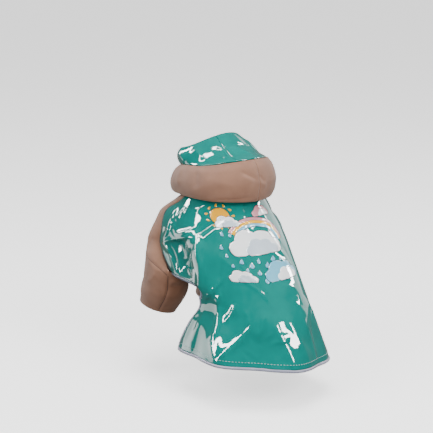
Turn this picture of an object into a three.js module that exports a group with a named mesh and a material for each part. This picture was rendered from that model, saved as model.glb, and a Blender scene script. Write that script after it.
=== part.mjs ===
// A small dog's raincoat, standing hollow in the pose of a sitting wearer.
// A glossy back panel widens to a skirt, with raglan sleeves, a chest panel, and a hood turned down
// into a collar with a wide brim. Every piece is a thin wall over a surface worked out from sections.
// Millimetres. +Z is up, +Y is the way the wearer faces and -X is the wearer's left.
// The origin is the middle of the neck seam, where the wearer's neck holds the coat.
import * as THREE from "three";

// Driving dimensions
const CLOTH = 1.6;
const BRIM_CLOTH = 2.4;
const TAPE = 2.6;
const TAPE_WIDTH = 3.2;
const SEAM_GAP = 0.3;
const NECK_GAP = 1;

// The body's level sections from the neck down. Angles are in degrees from the middle of the back.
// y and z: the section's middle. tilt and roll: degrees that its back stands above its front, and its left
// side above its right. half, back, front: reach to the side, back and front, with powers that square its
// corners. armBack and armFront: the armhole's two seams. flank: the line that the skirt's edge follows.
const BODY = [
  { name: "neck", y: 0, z: 0, tilt: 6, roll: 0, half: 38, back: 38, front: 38, backPower: 2, frontPower: 2,
    armBack: 108, armFront: 140, flank: 72 },
  { name: "collar", y: 4, z: -12, tilt: 6, roll: 0, half: 45, back: 47, front: 48, backPower: 2,
    frontPower: 2.2, armBack: 112, armFront: 150, flank: 76 },
  { name: "shoulder", y: 10, z: -25, tilt: 5, roll: 0, half: 53, back: 60, front: 61, backPower: 2.1,
    frontPower: 2.5, armBack: 115, armFront: 158, flank: 80 },
  { name: "arm", y: 4, z: -46, tilt: 3, roll: 0, half: 59, back: 69, front: 70, backPower: 2.2,
    frontPower: 2.7, armBack: 116, armFront: 162, flank: 84 },
  { name: "chest", y: -1, z: -66, tilt: 0, roll: 0, half: 62, back: 79, front: 71, backPower: 2.2,
    frontPower: 2.8, armBack: 119.5, armFront: 164, flank: 88 },
  { name: "belly", y: -12, z: -97, tilt: -3, roll: 0, half: 61, back: 92, front: 62, backPower: 2.2,
    frontPower: 2.5, armBack: 117, armFront: 166, flank: 77 },
  { name: "waist", y: -38, z: -118, tilt: -3, roll: 1, half: 58.5, back: 78, front: 50, backPower: 2.1,
    frontPower: 2.1, armBack: 121, armFront: 166, flank: 97 },
  { name: "hip", y: -46, z: -146, tilt: -1, roll: 3, half: 66, back: 79, front: 70, backPower: 2,
    frontPower: 2, armBack: 121, armFront: 166, flank: 118 },
  { name: "hem", y: -50, z: -181, tilt: 2, roll: 6, half: 76, back: 85, front: 84, backPower: 2,
    frontPower: 2, armBack: 121, armFront: 166, flank: 131 },
];
const BELLY_EDGE = 4.9;
const BELLY_TAPE_END = 5;
const HEM_EDGE = 7.9;
const HEM_TAPE_END = 8;
const TAPE_GAP_ROWS = 0.015;
const TAPE_GAP = 0.5;
const TAPE_END_GAP = 1;

// The largest folds, raised along the cloth's outward side. Rows are places in the table above:
// a fold starts, is full, fades and ends at them. angle and width are degrees round the body.
const FOLDS = [
  { name: "left flank ridge", angle: 72, width: 11, height: 4, starts: 2.2, full: 3.6, fades: 4.8, ends: 5.8 },
  { name: "left arm hollow", angle: 92, width: 11, height: -6, starts: 2.8, full: 3.8, fades: 4.4, ends: 5.2 },
  { name: "right flank ridge", angle: -74, width: 12, height: 3.5, starts: 2.6, full: 3.8, fades: 4.8, ends: 5.8 },
  { name: "right arm hollow", angle: -94, width: 11, height: -5, starts: 2.8, full: 3.8, fades: 4.4, ends: 5.2 },
  { name: "left rear flute", angle: 70, width: 12, height: 4.5, starts: 5.6, full: 8, fades: 9, ends: 10 },
  { name: "left rear trough", angle: 40, width: 13, height: -3.5, starts: 6, full: 8, fades: 9, ends: 10 },
  { name: "middle flute", angle: 8, width: 11, height: 3.5, starts: 6.2, full: 8, fades: 9, ends: 10 },
  { name: "right trough", angle: -20, width: 11, height: -3, starts: 6, full: 8, fades: 9, ends: 10 },
  { name: "right rear flute", angle: -50, width: 13, height: 4, starts: 5.8, full: 8, fades: 9, ends: 10 },
  { name: "right side trough", angle: -84, width: 12, height: -3.5, starts: 6, full: 8, fades: 9, ends: 10 },
  { name: "right front flute", angle: -116, width: 13, height: 4, starts: 6, full: 8, fades: 9, ends: 10 },
  { name: "left side trough", angle: 100, width: 11, height: -3.5, starts: 6, full: 8, fades: 9, ends: 10 },
  { name: "left front flute", angle: 128, width: 12, height: 3.5, starts: 6, full: 8, fades: 9, ends: 10 },
];

// The left sleeve's sections. Down to the belly they are arcs from one armhole seam to the other, level
// with the body's, and below they are rings. x, y, z: the arm's axis. reach: from the axis to the cloth.
// riseForward and riseInward: the slope of the rings, forwards and towards the body. gap: from the panels.
const SLEEVE = [
  { name: "neck", x: 0, y: 0, z: 0, reach: 38, riseForward: 0, riseInward: 0, gap: 0.3 },
  { name: "collar", x: -11, y: 10, z: -12, reach: 39, riseForward: 0, riseInward: 0, gap: 0.4 },
  { name: "shoulder", x: -26, y: 22, z: -25, reach: 36.5, riseForward: 0, riseInward: 0, gap: 0.6 },
  { name: "upper arm", x: -34, y: 31, z: -46, reach: 33.5, riseForward: 0, riseInward: 0, gap: 0.9 },
  { name: "arm", x: -40, y: 40, z: -66, reach: 29, riseForward: 0, riseInward: 0, gap: 1.3 },
  { name: "elbow", x: -44, y: 47, z: -96, reach: 24.5, riseForward: 0.08, riseInward: 0.03, gap: 2.8 },
  { name: "forearm", x: -41.5, y: 53, z: -117, reach: 25.2, riseForward: 0.18, riseInward: -0.03, gap: 2.8 },
  { name: "cuff", x: -41, y: 68, z: -143.4, reach: 20, riseForward: 0.262, riseInward: -0.172, gap: 2.8 },
];
const SEAM_BLEND = 0.3;
const UNDERARM_DROP = 2;

// The hood's sections from the neck seam up the inside, over the fold and down to the brim's seam.
// y: the section's middle. radius: its reach sideways and back. ahead: its foremost point.
// back, side and front: its height at those places.
const HOOD = [
  { name: "neck seam", y: 0, radius: 38, ahead: 38, back: 4, side: 0, front: -4 },
  { name: "inner low", y: 4, radius: 37.5, ahead: 40, back: 18, side: 12, front: 4 },
  { name: "inner middle", y: 13, radius: 36.5, ahead: 43, back: 36, side: 26, front: 11 },
  { name: "inner high", y: 24, radius: 34, ahead: 46, back: 52, side: 37, front: 19 },
  { name: "fold", y: 29, radius: 35, ahead: 50, back: 60, side: 43, front: 24 },
  { name: "outer high", y: 26, radius: 38.5, ahead: 53.5, back: 56, side: 40, front: 22.5 },
  { name: "outer crease", y: 18, radius: 41, ahead: 54.5, back: 48, side: 36, front: 20.5 },
  { name: "ledge", y: 6, radius: 42.5, ahead: 53, back: 40, side: 30, front: 19 },
  { name: "brim seam", y: -3, radius: 43.5, ahead: 52, back: 37, side: 29, front: 18 },
];
const BRIM = [
  { name: "seam", y: -3.2, radius: 45, ahead: 53.6, back: 36.2, side: 28.2, front: 17.2 },
  { name: "upper", y: -4, radius: 50, ahead: 59, back: 28, side: 22, front: 14 },
  { name: "middle", y: -5, radius: 53, ahead: 65, back: 12, side: 10, front: 7 },
  { name: "lower", y: -5, radius: 51.5, ahead: 69, back: -1, side: 0, front: -1 },
  { name: "edge", y: -5, radius: 48.5, ahead: 69, back: -7, side: -5, front: -7 },
  { name: "turned edge", y: -5, radius: 45, ahead: 65, back: -2.5, side: -1, front: -4 },
];
const HOOD_MIDDLE_ANGLE = 24;
const HOOD_END_ANGLE = 150;

// Mesh counts
const BACK_COLUMNS = 20;
const FLANK_COLUMNS = 5;
const CHEST_COLUMNS = 8;
const SLEEVE_OUTER_COLUMNS = 22;
const SLEEVE_INNER_COLUMNS = 8;
const HOOD_STEPS = 12;
const BRIM_STEPS = 9;
const UPPER_ROWS = [0, 0.35, 0.7, 1, 1.33, 1.67, 2, 2.33, 2.67, 3, 3.33, 3.67, 4, 4.25, 4.5, 4.75, BELLY_EDGE];
const SKIRT_ROWS = [5.06, 5.25, 5.5, 5.75, 6, 6.3, 6.6, 6.9, 7.2, 7.5, 7.7, HEM_EDGE];
const FOREARM_ROWS = [5.1, 5.35, 5.65, 6, 6.3, 6.6, 6.8, 7];

const TEAL = new THREE.MeshStandardMaterial({ color: 0x008f88, roughness: 0.12, metalness: 0 });
const TAUPE = new THREE.MeshStandardMaterial({ color: 0xa8897a, roughness: 0.85, metalness: 0 });
const GREY = new THREE.MeshStandardMaterial({ color: 0x8d90a6, roughness: 0.45, metalness: 0.1 });
const SLATE = new THREE.MeshStandardMaterial({ color: 0x3c4658, roughness: 0.6, metalness: 0 });

const radians = THREE.MathUtils.degToRad;

// A smooth value at a place between the rows of a table, with no swing past its neighbours.
function between(table, key, place) {
  const last = table.length - 1;
  const step = (k) => table[k + 1][key] - table[k][key];
  const slope = (k) => {
    if (k === 0) return step(0);
    if (k === last) return step(last - 1);
    const before = step(k - 1);
    const after = step(k);
    return before * after <= 0 ? 0 : (2 * before * after) / (before + after);
  };
  const i = THREE.MathUtils.clamp(Math.floor(place), 0, last - 1);
  const f = place - i;
  const rise = step(i);
  const early = slope(i);
  const late = slope(i + 1);
  return table[i][key] + f * (early + f * (3 * rise - 2 * early - late + f * (early + late - 2 * rise)));
}

// One side of a squared oval: the sine or cosine, sharpened towards the corner.
const squared = (value, power) => Math.sign(value) * Math.abs(value) ** (2 / power);

function foldHeight(row, angle) {
  let height = 0;
  for (const fold of FOLDS) {
    const along = THREE.MathUtils.smoothstep(row, fold.starts, fold.full)
      * (1 - THREE.MathUtils.smoothstep(row, fold.fades, fold.ends));
    height += fold.height * along * Math.exp(-(((angle - fold.angle) / fold.width) ** 2));
  }
  return height;
}

// A point of the body's cloth, at a place in the BODY table and an angle from the middle of the back.
function bodyPoint(row, angle) {
  const middle = between(BODY, "y", row);
  const wrapped = angle > 180 ? angle - 360 : angle;
  const side = Math.sin(radians(angle));
  const ahead = -Math.cos(radians(angle));
  const power = between(BODY, ahead < 0 ? "backPower" : "frontPower", row);
  const reach = between(BODY, ahead < 0 ? "back" : "front", row);
  const x = -between(BODY, "half", row) * squared(side, power);
  const y = middle + reach * squared(ahead, power);
  const rise = (y - middle) * Math.tan(radians(between(BODY, "tilt", row)))
    + x * Math.tan(radians(between(BODY, "roll", row)));
  const z = between(BODY, "z", row) - rise;
  const outward = new THREE.Vector3(x, y - middle, 0).normalize();
  return new THREE.Vector3(x, y, z).addScaledVector(outward, foldHeight(row, wrapped));
}

// Degrees that cover a length along a body section.
const degreesFor = (length, row) => THREE.MathUtils.radToDeg(length / between(BODY, "half", row));

const backSeam = (row) => between(BODY, "armBack", row) - degreesFor(SEAM_GAP / 2, row);
const frontSeam = (row) => between(BODY, "armFront", row) + degreesFor(SEAM_GAP / 2, row);
const flankLine = (row) => between(BODY, "flank", row);

// A closed wall of one thickness about a grid of points. keep(i, j) says which cells are cloth.
function wallSolid(grid, thickness, { closed = false, keep = () => true } = {}) {
  const rows = grid.length;
  const columns = grid[0].length;
  const at = (i, j) => grid[i][closed ? (j + columns) % columns : j];
  const clampRow = (i) => THREE.MathUtils.clamp(i, 0, rows - 1);
  const clampColumn = (j) => (closed ? j : THREE.MathUtils.clamp(j, 0, columns - 1));
  const positions = [];
  for (const way of [0.5, -0.5]) {
    for (let i = 0; i < rows; i++) {
      for (let j = 0; j < columns; j++) {
        const down = at(clampRow(i + 1), j).clone().sub(at(clampRow(i - 1), j));
        const across = at(i, clampColumn(j + 1)).clone().sub(at(i, clampColumn(j - 1)));
        const normal = down.cross(across).normalize();
        positions.push(...at(i, j).clone().addScaledVector(normal, way * thickness).toArray());
      }
    }
  }
  const under = rows * columns;
  const cellColumns = closed ? columns : columns - 1;
  const cloth = (i, j) => {
    if (i < 0 || i >= rows - 1) return false;
    if (!closed && (j < 0 || j >= cellColumns)) return false;
    return keep(i, closed ? (j + cellColumns) % cellColumns : j);
  };
  const vertex = (i, j) => i * columns + (j % columns);
  const faces = [];
  const quad = (a, b, c, d) => faces.push(a, b, c, a, c, d);
  for (let i = 0; i < rows - 1; i++) {
    for (let j = 0; j < cellColumns; j++) {
      if (!cloth(i, j)) continue;
      const ring = [vertex(i, j), vertex(i + 1, j), vertex(i + 1, j + 1), vertex(i, j + 1)];
      const beside = [cloth(i, j - 1), cloth(i + 1, j), cloth(i, j + 1), cloth(i - 1, j)];
      quad(...ring);
      quad(...ring.map((v) => v + under).reverse());
      beside.forEach((isCloth, k) => {
        if (isCloth) return;
        const a = ring[k];
        const b = ring[(k + 1) % 4];
        quad(b, a, a + under, b + under);
      });
    }
  }
  const geometry = new THREE.BufferGeometry();
  geometry.setAttribute("position", new THREE.Float32BufferAttribute(positions, 3));
  geometry.setIndex(faces);
  return outwardFacing(geometry);
}

// Turns a closed geometry's faces round where they point into it.
function outwardFacing(geometry) {
  const points = geometry.getAttribute("position");
  const faces = geometry.index.array;
  const corner = [new THREE.Vector3(), new THREE.Vector3(), new THREE.Vector3()];
  let volume = 0;
  for (let k = 0; k < faces.length; k += 3) {
    corner.forEach((v, n) => v.fromBufferAttribute(points, faces[k + n]));
    volume += corner[0].dot(corner[1].cross(corner[2]));
  }
  if (volume < 0) {
    for (let k = 0; k < faces.length; k += 3) {
      [faces[k + 1], faces[k + 2]] = [faces[k + 2], faces[k + 1]];
    }
  }
  geometry.computeVertexNormals();
  return geometry;
}

// The back panel: its middle columns run from neck to hem, its side columns from neck to belly edge.
function backPanel() {
  const rows = [...UPPER_ROWS, ...SKIRT_ROWS];
  const total = BACK_COLUMNS + FLANK_COLUMNS;
  const grid = rows.map((row) => {
    const flank = flankLine(row);
    const edge = Math.max(backSeam(Math.min(row, BELLY_EDGE)), flank);
    const line = [];
    for (let j = -total; j <= total; j++) {
      const share = Math.abs(j) / BACK_COLUMNS;
      const beyond = (Math.abs(j) - BACK_COLUMNS) / FLANK_COLUMNS;
      const angle = share <= 1 ? flank * share : flank + (edge - flank) * beyond;
      line.push(bodyPoint(row, Math.sign(j) * angle));
    }
    return line;
  });
  const lastUpper = UPPER_ROWS.length - 1;
  const keep = (i, j) => i < lastUpper || (j >= FLANK_COLUMNS && j < FLANK_COLUMNS + 2 * BACK_COLUMNS);
  return wallSolid(grid, CLOTH, { keep });
}

function chestPanel() {
  const grid = UPPER_ROWS.map((row) => {
    const start = frontSeam(row);
    const line = [];
    for (let j = 0; j <= CHEST_COLUMNS; j++) {
      line.push(bodyPoint(row, start + (360 - 2 * start) * (j / CHEST_COLUMNS)));
    }
    return line;
  });
  return wallSolid(grid, CLOTH);
}

// A point's direction and distance from the arm's axis, seen from above.
function aboutArm(point, row) {
  const x = point.x - between(SLEEVE, "x", row);
  const y = point.y - between(SLEEVE, "y", row);
  return { turn: Math.atan2(y, x), reach: Math.hypot(x, y) };
}

// One section of the left sleeve: from the back seam round the outside to the front seam, and then
// back along the inside, which is cloth only below the belly edge.
function sleeveSection(row) {
  const seamRow = Math.min(row, BELLY_EDGE);
  const back = aboutArm(bodyPoint(seamRow, between(BODY, "armBack", seamRow)), seamRow);
  const front = aboutArm(bodyPoint(seamRow, between(BODY, "armFront", seamRow)), seamRow);
  const full = 2 * Math.PI;
  const gap = between(SLEEVE, "gap", row) / back.reach;
  const start = (back.turn + full) % full - gap;
  const end = (front.turn > start ? front.turn - full : front.turn) + gap;
  const reach = between(SLEEVE, "reach", row);
  const held = 1 - THREE.MathUtils.smoothstep(row, BELLY_EDGE, BELLY_EDGE + 0.8);
  const near = (share) => held * Math.max(1 - share / SEAM_BLEND, 0) ** 2;
  const line = [];
  const put = (turn, toBack, toFront, drop = 0) => {
    const length = reach + (back.reach - reach) * toBack + (front.reach - reach) * toFront;
    const x = length * Math.cos(turn);
    const y = between(SLEEVE, "y", row) + length * Math.sin(turn);
    const ringZ = (place) => between(SLEEVE, "z", place) + x * between(SLEEVE, "riseInward", place)
      + length * Math.sin(turn) * between(SLEEVE, "riseForward", place);
    const bodyZ = between(BODY, "z", seamRow)
      - (y - between(BODY, "y", seamRow)) * Math.tan(radians(between(BODY, "tilt", seamRow)));
    const z = ringZ(row) + (bodyZ - ringZ(seamRow)) * held - drop;
    line.push(new THREE.Vector3(between(SLEEVE, "x", row) + x, y, z));
  };
  for (let j = 0; j <= SLEEVE_OUTER_COLUMNS; j++) {
    const share = j / SLEEVE_OUTER_COLUMNS;
    put(start + (end - start) * share, near(share), near(1 - share));
  }
  for (let j = 1; j < SLEEVE_INNER_COLUMNS; j++) {
    const share = j / SLEEVE_INNER_COLUMNS;
    put(end + (start - full - end) * share, near(1 - share), near(share), held * UNDERARM_DROP);
  }
  return line;
}

function sleeve() {
  const rows = [...UPPER_ROWS, ...FOREARM_ROWS];
  const lastUpper = UPPER_ROWS.length - 1;
  const keep = (i, j) => i >= lastUpper || j < SLEEVE_OUTER_COLUMNS;
  return wallSolid(rows.map(sleeveSection), CLOTH, { closed: true, keep });
}

// The same geometry on the other side of the body.
function mirrored(geometry) {
  const copy = geometry.clone();
  copy.scale(-1, 1, 1);
  return outwardFacing(copy);
}

// A point of the hood or brim, at a place in its table and an angle from the middle of the back.
function hoodPoint(table, place, angle) {
  const turn = radians(angle);
  const radius = between(table, "radius", place);
  const side = between(table, "side", place);
  const end = between(table, Math.cos(turn) > 0 ? "back" : "front", place);
  const height = side + (end - side) * Math.abs(Math.cos(turn)) ** 1.5;
  const middle = between(table, "y", place);
  const reach = Math.cos(turn) > 0 ? radius : between(table, "ahead", place) - middle;
  return new THREE.Vector3(-radius * Math.sin(turn), middle - reach * Math.cos(turn), height);
}

// A strip of the hood or brim between two angles, with its ends half a seam's gap inside them.
function hoodPiece(table, from, to, columns, steps, thickness) {
  const grid = [];
  for (let i = 0; i <= steps; i++) {
    const place = ((table.length - 1) * i) / steps;
    const gap = THREE.MathUtils.radToDeg(SEAM_GAP / 2 / between(table, "radius", place));
    const line = [];
    for (let j = 0; j <= columns; j++) {
      const angle = from + gap + (to - from - 2 * gap) * (j / columns);
      const point = hoodPoint(table, place, angle);
      if (i === 0 && table === HOOD) {
        point.copy(bodyPoint(0, angle)).z += NECK_GAP;
      }
      line.push(point);
    }
    grid.push(line);
  }
  return wallSolid(grid, thickness);
}

// Tape that carries on the cloth's edge: pairs of inner and outer places, walked along the edge.
function tape(pairs) {
  const grid = [0, 1].map((side) => pairs.map((pair) => bodyPoint(...pair[side])));
  return wallSolid(grid, TAPE);
}

// Along the left panel's edge under the arm, from the skirt to the sleeve.
function bellyTape() {
  const start = flankLine(SKIRT_ROWS[0]) + degreesFor(TAPE_END_GAP, BELLY_EDGE);
  const end = backSeam(BELLY_EDGE) - degreesFor(TAPE_END_GAP, BELLY_EDGE);
  const pairs = [];
  for (let k = 0; k <= FLANK_COLUMNS; k++) {
    const angle = start + (end - start) * (k / FLANK_COLUMNS);
    pairs.push([[BELLY_EDGE + TAPE_GAP_ROWS, angle], [BELLY_TAPE_END, angle]]);
  }
  return tape(pairs);
}

// Down the left front edge of the skirt, round the hem and up the right front edge.
function skirtTape() {
  const hemSteps = 2 * BACK_COLUMNS;
  const edgeRows = SKIRT_ROWS.slice(0, -1);
  const inner = (row) => flankLine(row) + degreesFor(TAPE_GAP, row);
  const outer = (row) => inner(row) + degreesFor(TAPE_WIDTH, row);
  const left = edgeRows.map((row) => [[row, inner(row)], [row, outer(row)]]);
  const corner = [[HEM_EDGE + TAPE_GAP_ROWS, inner(HEM_EDGE)], [HEM_TAPE_END, outer(HEM_TAPE_END)]];
  const hem = [];
  for (let k = 1; k < hemSteps; k++) {
    const angle = flankLine(HEM_EDGE) * (1 - (2 * k) / hemSteps);
    hem.push([[HEM_EDGE + TAPE_GAP_ROWS, angle], [HEM_TAPE_END, angle]]);
  }
  const flipped = ([first, second]) => [[first[0], -first[1]], [second[0], -second[1]]];
  return tape([...left, corner, ...hem, flipped(corner), ...left.map(flipped).reverse()]);
}

const coat = new THREE.Group();
function add(name, geometry, material) {
  const mesh = new THREE.Mesh(geometry, material);
  mesh.name = name;
  coat.add(mesh);
}

const leftSleeve = sleeve();
const leftTape = bellyTape();
const middle = HOOD_MIDDLE_ANGLE;
const end = HOOD_END_ANGLE;
add("back_panel", backPanel(), TEAL);
add("chest_panel", chestPanel(), TEAL);
add("sleeve_left", leftSleeve, TAUPE);
add("sleeve_right", mirrored(leftSleeve), TAUPE);
add("hood_middle", hoodPiece(HOOD, -middle, middle, 6, HOOD_STEPS, CLOTH), TEAL);
add("hood_left", hoodPiece(HOOD, middle, end, 12, HOOD_STEPS, CLOTH), TEAL);
add("hood_right", hoodPiece(HOOD, -end, -middle, 12, HOOD_STEPS, CLOTH), TEAL);
add("brim_left", hoodPiece(BRIM, 0, end, 14, BRIM_STEPS, BRIM_CLOTH), TAUPE);
add("brim_right", hoodPiece(BRIM, -end, 0, 14, BRIM_STEPS, BRIM_CLOTH), TAUPE);
add("belly_binding_left", leftTape, SLATE);
add("belly_binding_right", mirrored(leftTape), SLATE);
add("skirt_binding", skirtTape(), GREY);

export default coat;
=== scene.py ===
"""Dresses a small dog's raincoat: glossy teal film with creases, matte sleeves and brim, tapes and print.

Every piece of cloth is a thin shell over the same section tables as the solids. Millimetres in the tables.
"""
import math
import random

import bpy
import numpy as np
from mathutils import Matrix, Vector
from mathutils.bvhtree import BVHTree


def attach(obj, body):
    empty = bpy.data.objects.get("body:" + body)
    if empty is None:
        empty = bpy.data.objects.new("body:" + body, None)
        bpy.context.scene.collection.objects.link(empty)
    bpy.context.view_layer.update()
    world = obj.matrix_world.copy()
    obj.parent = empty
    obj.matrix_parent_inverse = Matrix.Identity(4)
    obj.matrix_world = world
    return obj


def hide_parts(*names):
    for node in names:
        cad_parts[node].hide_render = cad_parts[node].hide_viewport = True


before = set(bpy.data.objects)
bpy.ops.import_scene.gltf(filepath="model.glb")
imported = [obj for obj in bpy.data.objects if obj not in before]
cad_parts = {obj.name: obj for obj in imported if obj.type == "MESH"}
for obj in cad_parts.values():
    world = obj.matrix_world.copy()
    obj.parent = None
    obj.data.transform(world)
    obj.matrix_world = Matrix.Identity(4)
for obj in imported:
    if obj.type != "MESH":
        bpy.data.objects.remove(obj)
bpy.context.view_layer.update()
MM = 0.001

# Thickness and size of cloth and trim
FILM = 0.9
SOFTSHELL = 1.2
BRIM_CLOTH = 2.2
TAPE = 2.2
TAPE_WIDTH = 3.4
BELLY_TAPE_WIDTH = 3.2
SEAM_GAP = 0.3
NECK_GAP = 1.0
PIPING_RADIUS = 0.7
STITCH_LENGTH = 2.1
STITCH_GAP = 1.3
STITCH_RADIUS = 0.26
SIDES = [("left", 1), ("right", -1)]


def table(columns, rows):
    """Named columns of numbers, from rows that each start with a name."""
    return {key: np.array([row[k + 1] for row in rows], float) for k, key in enumerate(columns.split())}


# The body's level sections from the neck down. Angles are in degrees from the middle of the back.
BODY = table(
    "y z tilt roll half back front back_power front_power arm_back arm_front flank",
    [
        ("neck", 0, 0, 6, 0, 38, 38, 38, 2, 2, 108, 140, 72),
        ("collar", 4, -12, 6, 0, 45, 47, 48, 2, 2.2, 112, 150, 76),
        ("shoulder", 10, -25, 5, 0, 53, 60, 61, 2.1, 2.5, 115, 158, 80),
        ("arm", 4, -46, 3, 0, 59, 69, 70, 2.2, 2.7, 116, 162, 84),
        ("chest", -1, -66, 0, 0, 62, 79, 71, 2.2, 2.8, 119.5, 164, 88),
        ("belly", -12, -97, -3, 0, 61, 92, 62, 2.2, 2.5, 117, 166, 77),
        ("waist", -38, -118, -3, 1, 58.5, 78, 50, 2.1, 2.1, 121, 166, 97),
        ("hip", -46, -146, -1, 3, 66, 79, 70, 2, 2, 121, 166, 118),
        ("hem", -50, -181, 2, 6, 76, 85, 84, 2, 2, 121, 166, 131),
    ],
)
# Places in that table
BELLY_EDGE = 4.9
SKIRT_START = 5.06
BELLY_TAPE_END = 5.0
HIP = 7
HEM_STITCHES = 7.74
HEM_EDGE = 7.9
HEM_TAPE_END = 8.0

# The largest folds, raised along the cloth's outward side between places in the table above
FOLDS = [
    # angle, width, height, starts, full, fades, ends
    ("left flank ridge", 72, 11, 4, 2.2, 3.6, 4.8, 5.8),
    ("left arm hollow", 92, 11, -6, 2.8, 3.8, 4.4, 5.2),
    ("right flank ridge", -74, 12, 3.5, 2.6, 3.8, 4.8, 5.8),
    ("right arm hollow", -94, 11, -5, 2.8, 3.8, 4.4, 5.2),
    ("left rear flute", 70, 12, 4.5, 5.6, 8, 9, 10),
    ("left rear trough", 40, 13, -3.5, 6, 8, 9, 10),
    ("middle flute", 8, 11, 3.5, 6.2, 8, 9, 10),
    ("right trough", -20, 11, -3, 6, 8, 9, 10),
    ("right rear flute", -50, 13, 4, 5.8, 8, 9, 10),
    ("right side trough", -84, 12, -3.5, 6, 8, 9, 10),
    ("right front flute", -116, 13, 4, 6, 8, 9, 10),
    ("left side trough", 100, 11, -3.5, 6, 8, 9, 10),
    ("left front flute", 128, 12, 3.5, 6, 8, 9, 10),
]

# The left sleeve's sections: arcs from seam to seam down to the belly, then rings
SLEEVE = table(
    "x y z reach rise_forward rise_inward gap",
    [
        ("neck", 0, 0, 0, 38, 0, 0, 0.3),
        ("collar", -11, 10, -12, 39, 0, 0, 0.4),
        ("shoulder", -26, 22, -25, 36.5, 0, 0, 0.6),
        ("upper arm", -34, 31, -46, 33.5, 0, 0, 0.9),
        ("arm", -40, 40, -66, 29, 0, 0, 1.3),
        ("elbow", -44, 47, -96, 24.5, 0.08, 0.03, 2.8),
        ("forearm", -41.5, 53, -117, 25.2, 0.18, -0.03, 2.8),
        ("cuff", -41, 68, -143.4, 20, 0.262, -0.172, 2.8),
    ],
)
CUFF_END = 7
UNDERARM_DROP = 2.0
# How far round the arm a seam holds the sleeve, and how far below the belly it lets go
SEAM_BLEND = 0.3
SEAM_RELEASE = 0.8

# The hood up the inside, over the fold and down to the brim's seam, and the brim from there to its hem
HOOD = table(
    "y radius ahead back side front",
    [
        ("neck seam", 0, 38, 38, 4, 0, -4),
        ("inner low", 4, 37.5, 40, 18, 12, 4),
        ("inner middle", 13, 36.5, 43, 36, 26, 11),
        ("inner high", 24, 34, 46, 52, 37, 19),
        ("fold", 29, 35, 50, 60, 43, 24),
        ("outer high", 26, 38.5, 53.5, 56, 40, 22.5),
        ("outer crease", 18, 41, 54.5, 48, 36, 20.5),
        ("ledge", 6, 42.5, 53, 40, 30, 19),
        ("brim seam", -3, 43.5, 52, 37, 29, 18),
    ],
)
HOOD_END = 8
BRIM = table(
    "y radius ahead back side front",
    [
        ("seam", -3.2, 45, 53.6, 36.2, 28.2, 17.2),
        ("upper", -4, 50, 59, 28, 22, 14),
        ("middle", -5, 53, 65, 12, 10, 7),
        ("lower", -5, 51.5, 69, -1, 0, -1),
        ("edge", -5, 48.5, 69, -7, -5, -7),
        ("turned edge", -5, 45, 65, -2.5, -1, -4),
    ],
)
BRIM_END = 5
HOOD_MIDDLE_ANGLE = 24
HOOD_END_ANGLE = 150
# For a seam's gap in degrees, for the neck's own form, and for how heights change round
HOOD_RADIUS = 42.0
NECK_BLEND = 0.7
HEIGHT_POWER = 1.5

# Mesh counts
UPPER_STEPS = 118
SKIRT_STEPS = 82
MIDDLE_STEPS = 150
SIDE_STEPS = 34
CHEST_STEPS = 36
SLEEVE_STEPS = 92
FOREARM_STEPS = 44
SLEEVE_OUTER_STEPS = 84
SLEEVE_INNER_STEPS = 28
HOOD_STEPS = 72
HOOD_MIDDLE_COLUMNS = 44
HOOD_SIDE_COLUMNS = 90
BRIM_STEPS = 56
BRIM_COLUMNS = 110
BELLY_TAPE_STEPS = 40
SKIRT_TAPE_STEPS = 70
HEM_TAPE_STEPS = 260
PIPING_STEPS = 110
SLEEVE_LINE_STEPS = 60
HEM_STITCH_STEPS = 420
PRINT_STEPS = 300


def between(columns, key, place):
    """A smooth value between a table's rows, with no swing past its neighbours."""
    values = columns[key]
    steps = np.diff(values)
    product = steps[:-1] * steps[1:]
    total = steps[:-1] + steps[1:]
    inner = np.where(product > 0, 2 * product / np.where(total == 0, 1, total), 0)
    slopes = np.concatenate(([steps[0]], inner, [steps[-1]]))
    place = np.asarray(place, float)
    i = np.clip(np.floor(place).astype(int), 0, len(values) - 2)
    f = place - i
    rise, early, late = steps[i], slopes[i], slopes[i + 1]
    return values[i] + f * (early + f * (3 * rise - 2 * early - late + f * (early + late - 2 * rise)))


def eased(value, low, high):
    """0 below low, 1 above high and a smooth rise between."""
    share = np.clip((value - low) / (high - low), 0, 1)
    return share * share * (3 - 2 * share)


def fold_height(row, angle):
    """How far the large folds raise the cloth at a place."""
    height = np.zeros(np.broadcast(row, angle).shape)
    for _, middle, width, raised, starts, full, fades, ends in FOLDS:
        along = eased(row, starts, full) * (1 - eased(row, fades, ends))
        height = height + raised * along * np.exp(-(((angle - middle) / width) ** 2))
    return height


def squared(value, power):
    """A sine or cosine, sharpened towards the corner of a squared oval."""
    return np.sign(value) * np.abs(value) ** (2 / power)


def body_point(row, angle):
    """A point of the body's cloth, at a place in BODY and an angle from the middle of the back."""
    row, angle = np.broadcast_arrays(np.asarray(row, float), np.asarray(angle, float))
    turn = np.radians(angle)
    side, ahead = np.sin(turn), -np.cos(turn)
    rear = ahead < 0
    power = np.where(rear, between(BODY, "back_power", row), between(BODY, "front_power", row))
    reach = np.where(rear, between(BODY, "back", row), between(BODY, "front", row))
    x = -between(BODY, "half", row) * squared(side, power)
    forward = reach * squared(ahead, power)
    rise = forward * np.tan(np.radians(between(BODY, "tilt", row)))
    rise = rise + x * np.tan(np.radians(between(BODY, "roll", row)))
    z = between(BODY, "z", row) - rise
    length = np.hypot(x, forward)
    height = fold_height(row, np.where(angle > 180, angle - 360, angle)) / length
    return np.stack([x * (1 + height), between(BODY, "y", row) + forward * (1 + height), z], -1)


def degrees_for(length, row):
    """Degrees that cover a length along a body section."""
    return np.degrees(length / between(BODY, "half", row))


def back_seam(row):
    """The angle of the back panel's edge at the arm."""
    return between(BODY, "arm_back", row) - degrees_for(SEAM_GAP / 2, row)


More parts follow.
